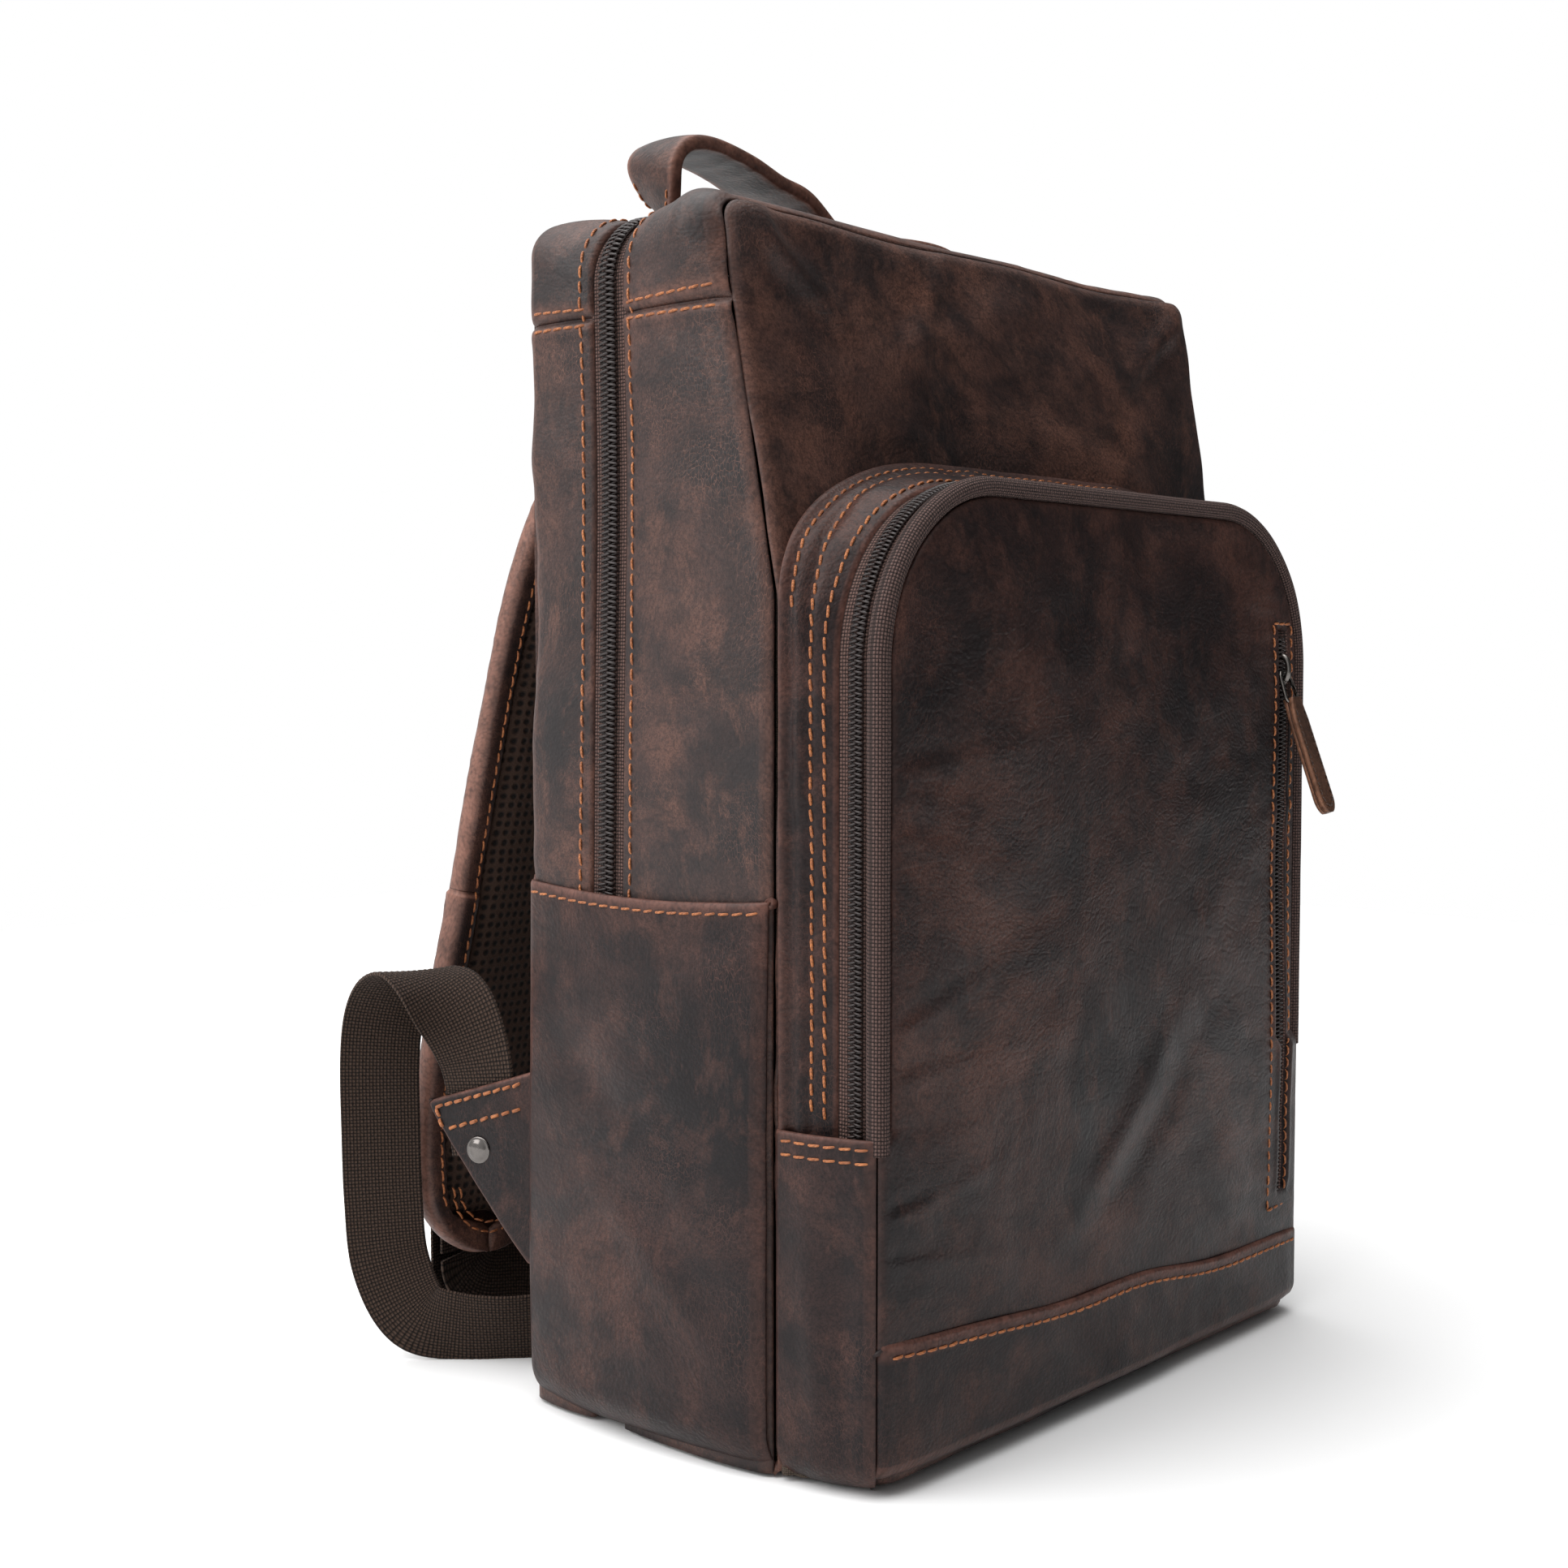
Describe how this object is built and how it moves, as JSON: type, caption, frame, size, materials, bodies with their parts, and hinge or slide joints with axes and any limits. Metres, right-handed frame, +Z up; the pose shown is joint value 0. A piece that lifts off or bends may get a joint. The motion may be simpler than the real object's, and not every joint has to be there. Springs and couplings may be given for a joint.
{
  "type": "leather backpack",
  "caption": "Soft leather laptop backpack with an arched zip over the top, a zipped front pocket, slip pockets, a carry handle and padded shoulder straps.",
  "frame": {"origin": "middle of the bag's footprint, on the flat underside that it stands on", "axes": "+Z up, -Y towards the front pocket, +Y towards the wearer's back, +X to the side with the upright front zip"},
  "size_m": [0.343, 0.2678, 0.4659],
  "materials": {
    "leather": "waxed pull-up leather, soft sheen",
    "foam": "closed foam padding",
    "mesh": "open spacer mesh",
    "lining": "woven cotton lining",
    "zip": "woven zip tape with a polyester coil",
    "webbing": "heavy woven webbing",
    "board": "stiffener sheet",
    "gunmetal": "dark nickel plate",
    "pull_leather": "two-ply leather with raw edges"
  },
  "bodies": {
    "bag": {"back_foam": "foam", "back_mesh_pad": "mesh", "back_panel": "leather", "base_board": "board", "base_panel": "leather", "front_panel_lower": "leather", "front_zip_lower": "zip", "gusset_front_left": "leather", "gusset_front_right": "leather", "gusset_rear": "leather", "laptop_sleeve": "lining", "main_lining": "lining", "main_zip_front_lower": "zip", "main_zip_rear": "zip", "organizer_panel": "lining", "pocket_band": "leather", "pocket_front_lower": "leather", "pocket_gusset": "leather", "pocket_lining": "lining", "pocket_welt": "leather", "pocket_wrap": "leather", "pocket_zip_rear": "zip", "side_pocket_left": "leather", "side_pocket_right": "leather", "strap_tab_left": "leather", "strap_tab_right": "leather", "tab_rivets": "gunmetal", "top_strip_rear": "leather", "webbing_left": "webbing", "webbing_right": "webbing"},
    "mouth": {"front_panel_upper": "leather", "gusset_front_upper": "leather", "top_strip_front": "leather", "main_zip_front_upper": "zip", "mouth_lining": "lining"},
    "flap": {"flap_panel": "leather", "flap_piping": "webbing", "flap_zip": "zip", "flap_lining": "lining", "front_zip_upper": "zip"},
    "handle": {"handle": "leather", "handle_core": "leather"},
    "strap_left": {"strap_left_leather": "leather", "strap_left_foam": "foam", "strap_left_mesh": "mesh", "ladder_lock_left": "gunmetal", "webbing_tail_left": "webbing"},
    "strap_right": {"strap_right_leather": "leather", "strap_right_foam": "foam", "strap_right_mesh": "mesh", "ladder_lock_right": "gunmetal", "webbing_tail_right": "webbing"},
    "main_slider_upper": {"main_slider_upper": "gunmetal"},
    "main_slider_lower": {"main_slider_lower": "gunmetal"},
    "pocket_slider": {"pocket_slider": "gunmetal"},
    "front_slider": {"front_slider": "gunmetal"},
    "main_pull_upper": {"main_pull_upper": "pull_leather"},
    "main_pull_lower": {"main_pull_lower": "pull_leather"},
    "pocket_pull": {"pocket_pull": "pull_leather"},
    "front_pull": {"front_pull": "pull_leather"}
  },
  "joints": [
    {"name": "mouth_fold", "type": "hinge", "parent": "bag", "child": "mouth", "pos_m": [0, -0.0306, 0.345], "axis": [1, 0, 0], "range_deg": [0, 24]},
    {"name": "flap_fold", "type": "hinge", "parent": "bag", "child": "flap", "pos_m": [0, -0.079, 0.142], "axis": [1, 0, 0], "range_deg": [0, 78]},
    {"name": "handle_swing", "type": "hinge", "parent": "bag", "child": "handle", "pos_m": [0, 0.0765, 0.4262], "axis": [1, 0, 0], "range_deg": [-65, 36]},
    {"name": "strap_left_swing", "type": "hinge", "parent": "bag", "child": "strap_left", "pos_m": [0, 0.08, 0.405], "axis": [1, 0, 0], "range_deg": [0, 16]},
    {"name": "strap_right_swing", "type": "hinge", "parent": "bag", "child": "strap_right", "pos_m": [0, 0.08, 0.405], "axis": [1, 0, 0], "range_deg": [0, 16]},
    {"name": "main_slider_upper_slide", "type": "slide", "parent": "bag", "child": "main_slider_upper", "axis": [0, 0, 1], "range_m": [0, 0.1]},
    {"name": "main_slider_lower_slide", "type": "slide", "parent": "bag", "child": "main_slider_lower", "axis": [0, 0, -1], "range_m": [0, 0.004]},
    {"name": "pocket_slider_slide", "type": "slide", "parent": "bag", "child": "pocket_slider", "axis": [0, 0, 1], "range_m": [0, 0.11]},
    {"name": "front_slider_slide", "type": "slide", "parent": "flap", "child": "front_slider", "axis": [0, 0, -1], "range_m": [0, 0.11]},
    {"name": "main_pull_upper_swing", "type": "hinge", "parent": "main_slider_upper", "child": "main_pull_upper", "pos_m": [0.149, 0.036, 0.254], "axis": [0, -1, 0], "range_deg": [0, 60]},
    {"name": "main_pull_lower_swing", "type": "hinge", "parent": "main_slider_lower", "child": "main_pull_lower", "pos_m": [0.149, 0.036, 0.224], "axis": [0, -1, 0], "range_deg": [0, 8]},
    {"name": "pocket_pull_swing", "type": "hinge", "parent": "pocket_slider", "child": "pocket_pull", "pos_m": [0.1416, -0.068, 0.128], "axis": [0, -1, 0], "range_deg": [0, 60]},
    {"name": "front_pull_swing", "type": "hinge", "parent": "front_slider", "child": "front_pull", "pos_m": [0.116, -0.082, 0.264], "axis": [-1, 0, 0], "range_deg": [0, 50]}
  ]
}
